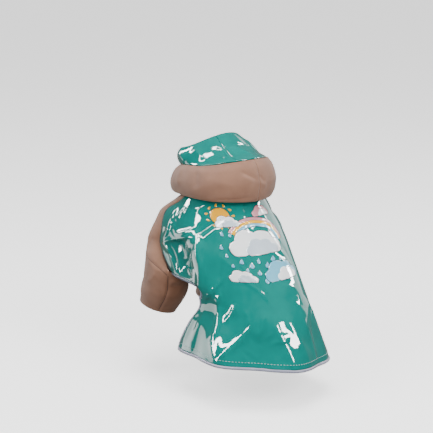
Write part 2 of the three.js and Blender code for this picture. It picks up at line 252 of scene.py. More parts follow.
def front_seam(row):
    """The angle of the chest panel's edge at the arm."""
    return between(BODY, "arm_front", row) + degrees_for(SEAM_GAP / 2, row)


def about_arm(point, row):
    """A point's direction and distance from the arm's axis, seen from above."""
    x = point[..., 0] - between(SLEEVE, "x", row)
    y = point[..., 1] - between(SLEEVE, "y", row)
    return np.arctan2(y, x), np.hypot(x, y)


def sleeve_point(row, round_arm):
    """A point of the left sleeve. round_arm runs from 0 at the back seam round the outside to 1 at the
    front seam, and on to 2 back along the inside."""
    row, round_arm = np.broadcast_arrays(np.asarray(row, float), np.asarray(round_arm, float))
    seam_row = np.minimum(row, BELLY_EDGE)
    back_edge = body_point(seam_row, between(BODY, "arm_back", seam_row))
    front_edge = body_point(seam_row, between(BODY, "arm_front", seam_row))
    back_turn, back_reach = about_arm(back_edge, seam_row)
    front_turn, front_reach = about_arm(front_edge, seam_row)
    full = 2 * np.pi
    gap = between(SLEEVE, "gap", row) / back_reach
    start = (back_turn + full) % full - gap
    end = np.where(front_turn > start, front_turn - full, front_turn) + gap
    held = 1 - eased(row, BELLY_EDGE, BELLY_EDGE + SEAM_RELEASE)
    outer = round_arm <= 1
    share = np.where(outer, round_arm, round_arm - 1)
    turn = np.where(outer, start + (end - start) * share, end + (start - full - end) * share)
    near_start = held * np.maximum(1 - share / SEAM_BLEND, 0) ** 2
    near_end = held * np.maximum(1 - (1 - share) / SEAM_BLEND, 0) ** 2
    to_back = np.where(outer, near_start, near_end)
    to_front = np.where(outer, near_end, near_start)
    reach = between(SLEEVE, "reach", row)
    length = reach + (back_reach - reach) * to_back + (front_reach - reach) * to_front
    x, forward = length * np.cos(turn), length * np.sin(turn)
    y = between(SLEEVE, "y", row) + forward

    def ring_z(place):
        inward, ahead = between(SLEEVE, "rise_inward", place), between(SLEEVE, "rise_forward", place)
        return between(SLEEVE, "z", place) + x * inward + forward * ahead

    slope = np.tan(np.radians(between(BODY, "tilt", seam_row)))
    body_z = between(BODY, "z", seam_row) - (y - between(BODY, "y", seam_row)) * slope
    z = ring_z(row) + (body_z - ring_z(seam_row)) * held - np.where(outer, 0, held * UNDERARM_DROP)
    return np.stack([between(SLEEVE, "x", row) + x, y, z], -1)


def ring_point(columns, place, angle):
    """A point of the hood or brim, at a place in its table and an angle from the middle of the back."""
    place, angle = np.broadcast_arrays(np.asarray(place, float), np.asarray(angle, float))
    turn = np.radians(angle)
    rear = np.cos(turn) > 0
    radius = between(columns, "radius", place)
    side = between(columns, "side", place)
    end = np.where(rear, between(columns, "back", place), between(columns, "front", place))
    height = side + (end - side) * np.abs(np.cos(turn)) ** HEIGHT_POWER
    middle = between(columns, "y", place)
    reach = np.where(rear, radius, between(columns, "ahead", place) - middle)
    return np.stack([-radius * np.sin(turn), middle - reach * np.cos(turn), height], -1)


def hood_point(place, angle):
    """The hood's surface, which starts on the body's neck section."""
    free = ring_point(HOOD, place, angle)
    seam = body_point(0, np.broadcast_to(angle, free.shape[:-1])) + np.array([0, 0, NECK_GAP])
    share = (1 - eased(np.broadcast_to(place, free.shape[:-1]), 0, NECK_BLEND))[..., None]
    return free + (seam - free) * share


def brim_point(place, angle):
    """The brim's surface, which starts beside the hood's seam."""
    return ring_point(BRIM, place, angle)


def unit(vectors):
    return vectors / np.maximum(np.linalg.norm(vectors, axis=-1, keepdims=True), 1e-9)


def normals_of(surface, places, others, step):
    """A surface's outward normals, from small steps along it and round it."""
    down = surface(places + step[0], others) - surface(places - step[0], others)
    across = surface(places, others + step[1]) - surface(places, others - step[1])
    return unit(np.cross(across, down))


def outward_at(row, angle):
    """The body cloth's outward normal."""
    return normals_of(body_point, row, angle, (0.02, 1.0))


# Creases: ridges, or troughs where the height is negative, along listed paths of (place, angle).
# width: how far one falls away on its left, seen from its start. lean: times that on its right.
# tip: how round its top is. They taper to nothing at both ends.
LEFT_FLANK = [
    # path, height, width, lean, tip
    (
        [(2.7, 71), (3.2, 70), (3.74, 70), (4.24, 70), (4.66, 73.5), (5.37, 82), (5.9, 89)],
        4.2, 2.6, 3.2, 0.5,
    ),
    ([(3.95, 116), (3.6, 104), (3.3, 93), (3.09, 82), (2.96, 68)], 3.2, 6.0, 0.45, 0.5),
    ([(3.1, 69), (3.7, 77), (4.2, 87), (4.8, 98)], -2.6, 2.4, 1.5, 0.6),
    ([(3.3, 96), (3.8, 92), (4.25, 89)], -1.8, 3.0, 1.0, 0.8),
    ([(3.6, 112), (4.1, 104), (4.6, 103), (4.9, 104)], 1.5, 1.4, 1.4, 0.4),
    ([(3.5, 104), (4.0, 97), (4.5, 97), (4.85, 100)], 1.2, 1.2, 1.4, 0.4),
    ([(4.0, 115), (4.4, 112), (4.8, 110)], 1.0, 1.2, 1.2, 0.4),
    ([(4.3, 78), (4.75, 84), (4.88, 92)], 1.2, 2.2, 1.0, 0.8),
]
LEFT_SHOULDER = [
    ([(1.55, 98), (1.9, 97), (2.5, 98.5), (3.0, 101), (3.4, 106)], 1.5, 1.3, 1.6, 0.35),
    ([(1.45, 90), (1.75, 90), (2.2, 91), (2.5, 94)], 1.7, 1.2, 1.8, 0.35),
    ([(2.4, 93), (2.62, 99), (3.1, 103), (3.7, 111)], 1.7, 1.2, 1.6, 0.35),
    ([(1.5, 85), (1.75, 85.5), (2.0, 87)], 1.0, 1.2, 1.4, 0.35),
    ([(2.5, 96), (2.8, 93), (3.0, 94)], 0.9, 1.2, 1.4, 0.4),
    ([(3.05, 95), (2.85, 84), (2.62, 72), (2.5, 64)], 1.5, 1.8, 1.8, 0.5),
    ([(3.0, 74), (2.72, 64), (2.47, 54), (2.25, 42), (2.05, 29)], -2.2, 3.4, 1.3, 0.8),
    ([(3.1, 66), (2.8, 55), (2.5, 44)], 1.2, 2.5, 2.2, 1.0),
]
SKIRT = [
    ([(4.4, 49), (4.89, 65), (5.45, 79), (5.95, 91)], 1.7, 1.0, 5.0, 0.3),
    (
        [(4.45, 50), (4.84, 57.5), (5.4, 68), (5.95, 75), (6.75, 77), (7.29, 78.5), (8.1, 72)],
        2.6, 4.0, 1.0, 1.0,
    ),
    ([(8.0, 76), (7.5, 67), (7.0, 56), (6.5, 47), (5.9, 38), (5.45, 29)], 2.8, 4.5, 1.5, 1.2),
    ([(5.55, 30), (6.1, 34), (6.6, 39), (7.0, 44)], 1.8, 3.5, 1.2, 1.0),
    ([(6.5, 71), (5.95, 62), (5.3, 52)], 1.9, 2.4, 1.2, 0.8),
    ([(5.5, 25), (6.1, 24), (6.6, 22), (7.3, 15.5), (8.1, 11)], 2.4, 4.0, 1.4, 1.0),
    ([(5.5, 12), (6.1, 9), (6.8, 4), (7.4, -1), (8.1, -8)], 2.2, 5.0, 1.2, 1.2),
    ([(4.35, 41), (4.57, 34), (4.77, 26.5), (5.0, 22), (5.6, 20)], 1.0, 1.1, 1.5, 0.3),
    ([(5.6, 47), (6.1, 49), (6.5, 52)], 0.7, 1.4, 1.2, 0.5),
    ([(6.2, 90), (6.8, 100), (7.5, 106), (8.1, 108)], 2.2, 5.0, 1.3, 1.4),
    ([(6.1, 96), (6.7, 110), (7.3, 117), (7.9, 121)], 1.4, 2.5, 1.5, 0.7),
    ([(5.9, -6), (6.6, -12), (7.3, -16), (8.1, -17)], 2.0, 5.0, 1.3, 1.5),
    ([(5.2, -26), (6.0, -34), (7.0, -38), (8.1, -38)], 2.2, 5.5, 1.3, 1.5),
]
UPPER_BACK = [
    ([(1.6, -8), (2.3, -10), (3.1, -15), (3.8, -22)], 1.3, 3.5, 1.2, 0.8),
    ([(2.1, -4), (3.0, -6), (3.7, -12), (4.3, -20)], 1.2, 3.0, 1.6, 0.6),
    ([(3.5, 2), (4.0, -6), (4.3, -16)], 0.9, 2.0, 2.0, 0.5),
    ([(4.6, 6), (4.75, -4), (4.85, -16)], 0.8, 2.0, 1.6, 0.5),
    ([(3.2, 44), (3.5, 36), (3.6, 28)], 0.7, 2.2, 1.6, 0.7),
    ([(3.7, 52), (4.1, 44), (4.3, 36), (4.35, 28)], 0.8, 2.4, 1.6, 0.7),
    ([(4.0, 34), (4.4, 30), (4.7, 27)], 0.9, 1.4, 1.6, 0.4),
    ([(1.2, 60), (1.5, 66), (2.0, 70)], 0.9, 2.6, 1.4, 0.8),
    ([(1.2, 12), (1.7, 14), (2.2, 12)], 0.6, 2.4, 1.4, 0.8),
]
# A crease's fading share at each end, and how many widths away it still counts
TAPER = 0.3
CREASE_REACH = 6
RIGHT_SHARE = 0.9
RIGHT_TURN = 3.0


def on_the_right(creases):
    """Like creases for the hidden side: a little lower, and turned further round."""
    return [
        (
            [(place, -angle - RIGHT_TURN) for place, angle in path],
            height * RIGHT_SHARE, width * lean, 1 / lean, tip,
        )
        for path, height, width, lean, tip in creases
    ]


# Small creases scattered over the back: seed, how many, places, angles
SCATTERS = [(7, 70, (1.2, 7.8), (-125, 115)), (12, 22, (6.3, 7.7), (8, 30))]
SCATTER_LENGTH = (9, 34)
SCATTER_HEIGHT = (0.15, 0.55)
SCATTER_WIDTH = (1.2, 2.6)
# Millimetres in a degree round the body and between two rows of its table, roughly
DEGREE_LENGTH = 1.1
ROW_LENGTH = 22.0


def scattered(seed, count, rows, angles):
    """Small uneven creases, most of them running down and sideways at once."""
    dice = random.Random(seed)
    creases = []
    for _ in range(count):
        row, angle = dice.uniform(*rows), dice.uniform(*angles)
        way = math.radians(dice.choice((-1, 1)) * dice.uniform(15, 75))
        bend = dice.uniform(-0.5, 0.5)
        length = dice.uniform(*SCATTER_LENGTH)
        path = []
        for share in (0, 0.5, 1):
            turn = way + bend * share
            path.append((
                row + share * length * math.cos(turn) / ROW_LENGTH,
                angle + share * length * math.sin(turn) / DEGREE_LENGTH,
            ))
        height = dice.choice((-1, 1, 1)) * dice.uniform(*SCATTER_HEIGHT)
        creases.append((path, height, dice.uniform(*SCATTER_WIDTH), dice.uniform(0.7, 1.8), 0.5))
    return creases


LEFT_SIDE = LEFT_FLANK + LEFT_SHOULDER
SKIRT_FRONT = SKIRT[9:11]
BODY_CREASES = LEFT_SIDE + SKIRT + UPPER_BACK + on_the_right(LEFT_SIDE + SKIRT_FRONT)
for scatter in SCATTERS:
    BODY_CREASES += scattered(*scatter)

# The sleeve's paths are of (place, share round the arm): the elbow dart, the long seam and soft folds
SLEEVE_SEAMS = [
    ([(4.5, 0.26), (4.62, 0.2), (4.8, 0.11), (5.05, 0.01)], -1.1, 1.0, 1.6, 0.3),
    ([(4.9, 0.0), (5.3, 0.0), (6.0, 0.012), (7.2, 0.02)], -0.9, 0.9, 1.0, 0.25),
]
SLEEVE_CREASES = SLEEVE_SEAMS + [
    ([(4.6, 0.3), (4.75, 0.2), (4.95, 0.1)], 0.9, 2.2, 1.0, 1.0),
    ([(4.9, 0.14), (5.3, 0.2), (5.6, 0.3)], 0.9, 3.0, 1.2, 1.2),
    ([(5.2, 1.96), (5.3, 1.86), (5.32, 1.74)], 1.6, 2.5, 1.2, 1.0),
    ([(5.45, 1.97), (5.6, 1.86), (5.62, 1.74)], -1.2, 2.5, 1.2, 1.0),
    ([(1.6, 0.5), (2.4, 0.52), (3.2, 0.5)], 1.3, 5.0, 1.4, 2.0),
    ([(2.6, 0.2), (3.3, 0.24), (4.0, 0.34)], 1.1, 3.5, 1.4, 1.5),
    ([(3.4, 0.1), (3.9, 0.16), (4.4, 0.3)], -1.0, 3.0, 1.4, 1.5),
    ([(5.6, 0.5), (6.1, 0.44), (6.7, 0.42)], 0.9, 4.0, 1.4, 1.8),
    ([(3.9, 0.66), (4.3, 0.7), (4.8, 0.62)], -1.3, 3.0, 1.4, 1.5),
    ([(4.3, 0.8), (4.7, 0.72), (5.1, 0.74)], 1.3, 3.0, 1.4, 1.5),
]
# The hood's creases lie on its outer layer, and the last two on its inner one
HOOD_CREASES = [
    ([(6.3, 42), (6.0, 24), (5.85, 6), (6.0, -16), (6.2, -32)], -1.5, 1.6, 1.6, 0.4),
    ([(6.0, 30), (5.9, 16), (6.3, 1), (7.0, -10), (7.5, -16)], 1.3, 1.2, 1.6, 0.4),
    ([(6.6, 44), (6.9, 34), (7.2, 26)], 1.4, 1.6, 1.6, 0.5),
    ([(5.2, 40), (5.8, 30), (6.6, 22), (7.4, 20)], 1.0, 1.4, 1.6, 0.4),
    ([(5.0, 70), (5.9, 62), (6.9, 66)], 1.8, 3.0, 1.4, 1.0),
    ([(5.0, -44), (5.9, -40), (6.9, -46)], 1.5, 3.0, 1.4, 1.0),
    ([(5.2, -80), (6.0, -76), (7.0, -84)], 1.6, 3.0, 1.4, 1.0),
    ([(5.1, 104), (6.0, 98), (7.0, 100)], 1.6, 3.0, 1.4, 1.0),
    ([(1.2, 30), (2.4, 24), (3.4, 28)], 1.2, 3.0, 1.4, 1.2),
    ([(1.0, -52), (2.2, -44), (3.2, -50)], 1.2, 3.0, 1.4, 1.2),
]
# The brim's pucker at the middle seam, its turned hem and its soft folds
BRIM_CREASES = [
    ([(1.05, 26), (1.3, 17), (1.6, 7), (1.75, 0.5)], -1.3, 1.6, 1.8, 0.5),
    ([(1.35, 25), (1.65, 15), (1.85, 5)], 0.9, 2.2, 1.4, 0.9),
    ([(1.45, -0.5), (1.7, -4), (2.0, -9)], -1.1, 1.4, 1.8, 0.5),
    ([(1.8, 0), (2.1, -6), (2.3, -12)], 0.8, 2.0, 1.4, 0.8),
    ([(3.4, 62), (3.35, 44), (3.2, 26), (2.95, 3)], -0.7, 1.2, 2.2, 0.5),
    ([(3.0, -3), (3.2, -26), (3.4, -44), (3.45, -80), (3.4, -120)], -0.6, 1.2, 2.2, 0.5),
    ([(3.4, 58), (3.45, 90), (3.4, 125)], -0.6, 1.2, 2.2, 0.5),
    ([(0.4, 52), (1.2, 46), (2.2, 48)], 1.1, 4.5, 1.4, 2.0),
    ([(0.6, 76), (1.4, 80), (2.4, 76)], -1.2, 4.5, 1.4, 2.0),
    ([(0.5, -30), (1.3, -26), (2.4, -32)], 1.0, 4.5, 1.4, 2.0),
    ([(0.6, -66), (1.6, -60), (2.6, -66)], -1.1, 4.5, 1.4, 2.0),
    ([(0.6, 104), (1.6, 108), (2.6, 104)], 1.1, 4.5, 1.4, 2.0),
    ([(0.6, -100), (1.6, -104), (2.6, -98)], 1.1, 4.5, 1.4, 2.0),
]


def run_along(points):
    """The distance run at each point."""
    return np.concatenate(([0], np.cumsum(np.linalg.norm(np.diff(points, axis=0), axis=1))))


def smooth_path(points, spacing=1.0):
    """Even steps along a smooth curve through 3-D points, and the distance run at each."""
    ends = np.vstack([2 * points[0] - points[1], points, 2 * points[-1] - points[-2]])
    curve = []
    for a, b, c, d in zip(ends[:-3], ends[1:-2], ends[2:-1], ends[3:]):
        count = max(int(np.linalg.norm(c - b) / spacing), 2)
        t = np.linspace(0, 1, count, endpoint=False)[:, None]
        bend = 2 * a - 5 * b + 4 * c - d
        twist = 3 * b - a - 3 * c + d
        curve.append(0.5 * (2 * b + (c - a) * t + bend * t**2 + twist * t**3))
    curve = np.vstack(curve + [points[-1:]])
    return curve, run_along(curve)


def grid_normals(points, closed):
    """Unit normals of a grid of points, away from the wearer."""
    down = np.gradient(points, axis=0)
    if closed:
        across = np.roll(points, -1, axis=1) - np.roll(points, 1, axis=1)
    else:
        across = np.gradient(points, axis=1)
    return unit(np.cross(across, down))


def crease(points, normals, surface, creases):
    """Raises a piece's points along its creases."""
    flat = points.reshape(-1, 3)
    out = normals.reshape(-1, 3)
    lift = np.zeros(len(flat))
    for path, height, width, lean, tip in creases:
        places = np.array(path, float)
        knots = surface(places[:, 0], places[:, 1])
        curve, run = smooth_path(knots)
        margin = CREASE_REACH * width * max(lean, 1)
        near = np.all((flat > curve.min(0) - margin) & (flat < curve.max(0) + margin), axis=1)
        chosen = np.nonzero(near)[0]
        if not len(chosen):
            continue
        away = flat[chosen][:, None, :] - curve[None]
        nearest = np.argmin((away**2).sum(-1), axis=1)
        offset = away[np.arange(len(chosen)), nearest]
        direction = unit(np.gradient(curve, axis=0))[nearest]
        along = run[nearest] + (offset * direction).sum(-1)
        sideways = (offset * np.cross(direction, out[chosen])).sum(-1)
        through = np.abs((offset * out[chosen]).sum(-1))
        taper = eased(along, 0, run[-1] * TAPER) * (1 - eased(along, run[-1] * (1 - TAPER), run[-1]))
        reach = np.where(sideways < 0, width, width * lean)
        fall = np.exp(-(np.hypot(sideways, tip) - tip) / reach)
        lift[chosen] += height * taper * fall * (through < margin)
    return points + (out * lift[:, None]).reshape(points.shape)


# Building meshes


def new_object(name, vertices, faces, material, smooth=True):
    """A mesh object from points in millimetres."""
    mesh = bpy.data.meshes.new(name)
    mesh.from_pydata([tuple(v) for v in np.asarray(vertices) * MM], [], faces)
    mesh.update()
    obj = bpy.data.objects.new(name, mesh)
    bpy.context.collection.objects.link(obj)
    obj.data.materials.append(material)
    if smooth:
        mesh.polygons.foreach_set("use_smooth", [True] * len(mesh.polygons))
    return obj


def grid_faces(columns, kept):
    """Quads for the kept cells of a grid, and the numbers of the points that they use."""
    faces = []
    for i, j in np.argwhere(kept):
        beside = (j + 1) % columns
        a, b = i * columns, (i + 1) * columns
        faces.append((a + j, a + beside, b + beside, b + j))
    used = np.unique(faces)
    return np.searchsorted(used, faces).tolist(), used


def ring_faces(first, rings, sides):
    """Quads between closed rings of points, numbered from first."""
    faces = []
    for ring in range(rings - 1):
        a, b = first + ring * sides, first + (ring + 1) * sides
        for k in range(sides):
            beside = (k + 1) % sides
            faces.append((a + k, a + beside, b + beside, b + k))
    return faces


def tube_faces(first, rings, sides):
    """The same quads, and a face at each end."""
    last = first + (rings - 1) * sides
    ends = [tuple(reversed(range(first, first + sides))), tuple(range(last, last + sides))]
    return ring_faces(first, rings, sides) + ends


def flat_cut(points, kept):
    """The width and length of the rectangle that the kept cells' cloth is cut from, and its area."""
    closed = kept.shape[1] == points.shape[1]
    grid = np.concatenate([points, points[:, :1]], axis=1) if closed else points
    across = np.linalg.norm(np.diff(grid, axis=1), axis=-1)
    down = np.linalg.norm(np.diff(grid, axis=0), axis=-1)
    width = (across[:-1] * kept).sum(1).max()
    length = (down[:, :-1] * kept).sum(0).max()
    middle_across = (across[:-1] + across[1:]) / 2
    middle_down = (down[:, :-1] + down[:, 1:]) / 2
    area = min((middle_across * middle_down * kept).sum(), width * length)
    return (width * MM, length * MM), area * MM * MM


def add_wall(obj, thickness):
    """Gives a shell its thickness, with its last material on the inside."""
    wall = obj.modifiers.new("wall", "SOLIDIFY")
    wall.thickness = thickness * MM
    wall.offset = 0
    wall.material_offset = len(obj.data.materials) - 1


def dress(obj, node, thickness, flat, area, held):
    """Gives a piece its thin wall, hangs it on the root, hides the solid it stands for and prints its flat
    size and area.
    """
    add_wall(obj, thickness)
    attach(obj, "root")
    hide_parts(node)
    print(f"{node}: flat {flat[0]:.3f} x {flat[1]:.3f} m, area {area:.4f} m2")


def cloth(node, points, surface, creases, materials, thickness, closed=False, kept=None, held="hung"):
    """A thin shell on a grid of points that stands for a solid.

    materials: outside, and inside if it differs. kept: the cells that are cloth.
    """
    rows, columns = points.shape[:2]
    if kept is None:
        kept = np.ones((rows - 1, columns - 1), bool)
    creased = crease(points, grid_normals(points, closed), surface, creases)
    faces, used = grid_faces(columns, kept)
    obj = new_object(node + "_cloth", creased.reshape(-1, 3)[used], faces, materials[0])
    for material in materials[1:]:
        obj.data.materials.append(material)
    flat, area = flat_cut(points, kept)
    dress(obj, node, thickness, flat, area, held)
    return obj


def mirror_copy(obj, name):
    """The right piece from the left one's mesh, with its faces turned round."""
    mesh = obj.data.copy()
    mesh.transform(Matrix.Scale(-1, 4, (1, 0, 0)))
    mesh.flip_normals()
    copy = bpy.data.objects.new(name, mesh)
    bpy.context.collection.objects.link(copy)
    return copy


def sweep(name, path, outward, half_width, half_depth, material, sides=10):
    """A cord or tape of oval section along a path of points. half_depth lies along outward."""
    tangent = unit(np.gradient(path, axis=0))
    across = unit(np.cross(tangent, outward))
    up = np.cross(across, tangent)
    turns = np.linspace(0, 2 * np.pi, sides, endpoint=False)
    rings = [path + across * half_width * np.cos(t) + up * half_depth * np.sin(t) for t in turns]
    vertices = np.stack(rings, 1).reshape(-1, 3)
    faces = tube_faces(0, len(path), sides)
    return new_object(name, vertices, faces, material)


# Materials


def linear(color):
    """A 0-255 screen colour as linear light."""
    shares = [part / 255 for part in color]
    light = [((share + 0.055) / 1.055) ** 2.4 if share > 0.04045 else share / 12.92 for share in shares]
    return (*light, 1.0)


def plain_material(name, color, roughness, **more):
    """A material of one colour. more: other sockets of its shader, by name."""
    material = bpy.data.materials.new(name)
    material.use_nodes = True
    shader = material.node_tree.nodes["Principled BSDF"]
    shader.inputs["Base Color"].default_value = linear(color)
    shader.inputs["Roughness"].default_value = roughness
    for key, value in more.items():
        shader.inputs[key.replace("_", " ")].default_value = value
    return material


def noise_from(material, scale, detail):
    """Noise of a size given per metre."""
    nodes = material.node_tree.nodes
    where = nodes.new("ShaderNodeTexCoord")
    noise = nodes.new("ShaderNodeTexNoise")
    noise.inputs["Scale"].default_value = scale
    noise.inputs["Detail"].default_value = detail
    material.node_tree.links.new(where.outputs["Object"], noise.inputs["Vector"])
    return noise.outputs["Fac"]


def add_bump(material, scale, distance, strength):
    """Fine unevenness of the surface."""
    nodes, links = material.node_tree.nodes, material.node_tree.links
    bump = nodes.new("ShaderNodeBump")
    bump.inputs["Distance"].default_value = distance
    bump.inputs["Strength"].default_value = strength
    links.new(noise_from(material, scale, detail=2.0), bump.inputs["Height"])
    links.new(bump.outputs["Normal"], nodes["Principled BSDF"].inputs["Normal"])


def add_mottle(material, color, other, scale):
    """Lets the colour drift between two near ones."""
    nodes, links = material.node_tree.nodes, material.node_tree.links
    ramp = nodes.new("ShaderNodeValToRGB")
    ramp.color_ramp.elements[0].position = 0.35
    ramp.color_ramp.elements[1].position = 0.65
    ramp.color_ramp.elements[0].color = linear(color)
    ramp.color_ramp.elements[1].color = linear(other)
    links.new(noise_from(material, scale, detail=3.0), ramp.inputs["Fac"])
    links.new(ramp.outputs["Color"], nodes["Principled BSDF"].inputs["Base Color"])


def film_material(name, color, other):
    """Cloth under a clear glossy film."""
    material = plain_material(
        name, color, 0.5, Coat_Weight=1.0, Coat_Roughness=0.03, Specular_IOR_Level=0.0
    )
    add_mottle(material, color, other, scale=45)
    add_bump(material, scale=60, distance=0.0012, strength=0.12)
    return material


def cloth_material(name, color, other, roughness=0.85):
    """Close-woven matte cloth."""
    material = plain_material(
        name, color, roughness, Sheen_Weight=0.12, Sheen_Roughness=0.6, Specular_IOR_Level=0.25
    )
    add_mottle(material, color, other, scale=70)
    add_bump(material, scale=1500, distance=0.0002, strength=0.35)
    return material


TEAL_FILM = film_material("teal_film", (0, 116, 108), (0, 124, 115))
TEAL_INSIDE = cloth_material("teal_inside", (0, 74, 74), (4, 82, 80))
TAUPE = cloth_material("taupe_softshell", (133, 93, 71), (141, 100, 77))
GREY_TAPE = cloth_material("grey_tape", (146, 148, 168), (156, 158, 178), 0.4)
SLATE_TAPE = cloth_material("slate_tape", (58, 70, 88), (68, 80, 98), 0.55)
# Near-black cord colour: the cord over the seams' gap is real, its dark line along them is painted shade
PIPING_PAINTED_SHADE = cloth_material("piping_painted_shade", (52, 44, 44), (62, 54, 52), 0.6)
# Dark brown of the lines in the sleeve's dart and seam: painted shade in their troughs
SEAM_SHADE = cloth_material("seam_shade", (70, 46, 38), (80, 54, 44))
THREAD = cloth_material("pale_thread", (150, 190, 188), (170, 204, 202), 0.6)
PRINT_TONES = {
    "line": ((40, 48, 60), (48, 56, 68)),
    "white": ((250, 252, 253), (242, 246, 248)),
    "grey": ((190, 204, 216), (202, 214, 224)),
    "blue": ((104, 182, 212), (124, 194, 220)),
    "yellow": ((238, 170, 24), (244, 184, 44)),
    "pink": ((206, 140, 150), (216, 154, 162)),
}
PRINT_COLORS = {name: film_material("print_" + name, *tones) for name, tones in PRINT_TONES.items()}

# The cloth pieces


def build_back():
    upper = np.linspace(0, BELLY_EDGE, UPPER_STEPS + 1)
    skirt = np.linspace(SKIRT_START, HEM_EDGE, SKIRT_STEPS)
    rows = np.concatenate([upper, skirt])
    half = MIDDLE_STEPS // 2
    step = np.arange(-half - SIDE_STEPS, half + SIDE_STEPS + 1)
    inside = np.minimum(np.abs(step) / half, 1)
    beyond = np.maximum(np.abs(step) - half, 0) / SIDE_STEPS
    flank = between(BODY, "flank", rows)[:, None]
    edge = np.maximum(back_seam(np.minimum(rows, BELLY_EDGE))[:, None], flank)
    angles = np.sign(step) * (flank * inside + (edge - flank) * beyond)
    points = body_point(rows[:, None], angles)

    kept = np.ones((len(rows) - 1, len(step) - 1), bool)
    kept[UPPER_STEPS:, :SIDE_STEPS] = False
    kept[UPPER_STEPS:, SIDE_STEPS + MIDDLE_STEPS:] = False
    return cloth("back_panel", points, body_point, BODY_CREASES, [TEAL_FILM, TEAL_INSIDE], FILM, kept=kept)


def build_chest():
    rows = np.linspace(0, BELLY_EDGE, UPPER_STEPS // 2)[:, None]
    start = front_seam(rows)
    points = body_point(rows, start + (360 - 2 * start) * np.linspace(0, 1, CHEST_STEPS)[None])
    return cloth("chest_panel", points, body_point, [], [TEAL_FILM, TEAL_INSIDE], FILM)


def build_sleeves():
    upper = np.linspace(0, BELLY_EDGE, SLEEVE_STEPS + 1)
    lower = np.linspace(BELLY_EDGE, CUFF_END, FOREARM_STEPS + 1)[1:]
    rows = np.concatenate([upper, lower])[:, None]
    outer = np.linspace(0, 1, SLEEVE_OUTER_STEPS + 1)
    inner = 1 + np.linspace(0, 1, SLEEVE_INNER_STEPS + 1)[1:-1]
    points = sleeve_point(rows, np.concatenate([outer, inner])[None])

    kept = np.ones((points.shape[0] - 1, points.shape[1]), bool)
    kept[:SLEEVE_STEPS, SLEEVE_OUTER_STEPS:] = False
    left = cloth("sleeve_left", points, sleeve_point, SLEEVE_CREASES, [TAUPE], SOFTSHELL, True, kept)
    right = mirror_copy(left, "sleeve_right_cloth")
    dress(right, "sleeve_right", SOFTSHELL, *flat_cut(points, kept), "hung")
    return left, right


def build_strip(name, surface, last, ends, counts, creases, material, thickness):
    """A piece of the hood or brim between two angles, with half a seam's gap at each."""
    places = np.linspace(0, last, counts[0] + 1)[:, None]
    gap = math.degrees(SEAM_GAP / 2 / HOOD_RADIUS)
    angles = ends[0] + gap + (ends[1] - ends[0] - 2 * gap) * np.linspace(0, 1, counts[1])[None]
    return cloth(name, surface(places, angles), surface, creases, [material], thickness, held="folded")


def build_hood():
    middle, end = HOOD_MIDDLE_ANGLE, HOOD_END_ANGLE
    strips = [
        ("hood_middle", (-middle, middle), HOOD_MIDDLE_COLUMNS),
        ("hood_left", (middle, end), HOOD_SIDE_COLUMNS),
        ("hood_right", (-end, -middle), HOOD_SIDE_COLUMNS),
    ]
    return [
        build_strip(name, hood_point, HOOD_END, ends, (HOOD_STEPS, count), HOOD_CREASES, TEAL_FILM, FILM)
        for name, ends, count in strips
    ]


def build_brim():
    counts = (BRIM_STEPS, BRIM_COLUMNS)
    return [
        build_strip(name, brim_point, BRIM_END, ends, counts, BRIM_CREASES, TAUPE, BRIM_CLOTH)
        for name, ends in [("brim_left", (0, HOOD_END_ANGLE)), ("brim_right", (-HOOD_END_ANGLE, 0))]
    ]


# The skirt's tape: its distance from the film, its corners' start, and which points it keeps
TAPE_CLEAR = 0.2
TAPE_CORNER = 0.06
TAPE_KNOTS = 3


def stand_for(obj, node):
    """Hangs a tape on the root and hides the solid it stands for."""
    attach(obj, "root")
    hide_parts(node)


def build_belly_tapes():
    """The dark tapes on the edges under the flanks, 1 mm short of them at both ends."""
    short = degrees_for(1, BELLY_EDGE)
    start = between(BODY, "flank", SKIRT_START) + short
    end = back_seam(BELLY_EDGE) - short
    row = (BELLY_EDGE + BELLY_TAPE_END) / 2
    angles = np.linspace(start, end, BELLY_TAPE_STEPS)
    path, outward = body_point(row, angles), outward_at(row, angles)
    half = BELLY_TAPE_WIDTH / 2
    for side, sign in SIDES:
        node = "belly_binding_" + side
        turn = np.array([sign, 1, 1])
        tape = sweep(node + "_tape", path * turn, outward * turn, half, TAPE / 2, SLATE_TAPE)
        stand_for(tape, node)


def build_skirt_tape():
    """The reflective tape down the skirt's front edges and round its hem, rounded at the corners."""
    half = TAPE_WIDTH / 2
    rows = np.linspace(SKIRT_START, HEM_EDGE - TAPE_CORNER, SKIRT_TAPE_STEPS)
    beside = between(BODY, "flank", rows) + degrees_for(half + TAPE_CLEAR, rows)
    last = between(BODY, "flank", HEM_EDGE)
    across = np.linspace(last, -last, HEM_TAPE_STEPS)
    hem_row = (HEM_EDGE + HEM_TAPE_END) / 2
    places = np.concatenate([rows, np.full(len(across), hem_row), rows[::-1]])
    around = np.concatenate([beside, across, -beside[::-1]])
    path, _ = smooth_path(body_point(places, around)[::TAPE_KNOTS], spacing=1.2)
    outward = path - np.array([0, float(between(BODY, "y", HIP)), 0])
    outward[:, 2] = 0
    tape = sweep("skirt_binding_tape", path, outward, half, TAPE / 2, GREY_TAPE, sides=12)
    stand_for(tape, "skirt_binding")


# Trim laid on the made cloth

LAY_REACH = 14.0
PIPING_CLEAR = 0.1
PIPING_LIFT = 0.25
LINE_LIFT = 0.02
STITCH_LIFT = 0.1
STITCH_MARGIN = 4


def tree_of(obj):
    return BVHTree.FromObject(obj, bpy.context.evaluated_depsgraph_get())


def laid_on(tree, points, outward, lift):
    """Points moved straight on to a made surface and lifted off it."""
    laid = []
    for point, normal in zip(points, outward):
        toward = Vector(-normal)
        start = Vector(point * MM) - toward * LAY_REACH * MM
        hit, _, _, _ = tree.ray_cast(start, toward, 2 * LAY_REACH * MM)
        laid.append(np.array(hit) / MM if hit else point)
    return np.array(laid) + outward * lift


def trim(obj):
    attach(obj, "root")


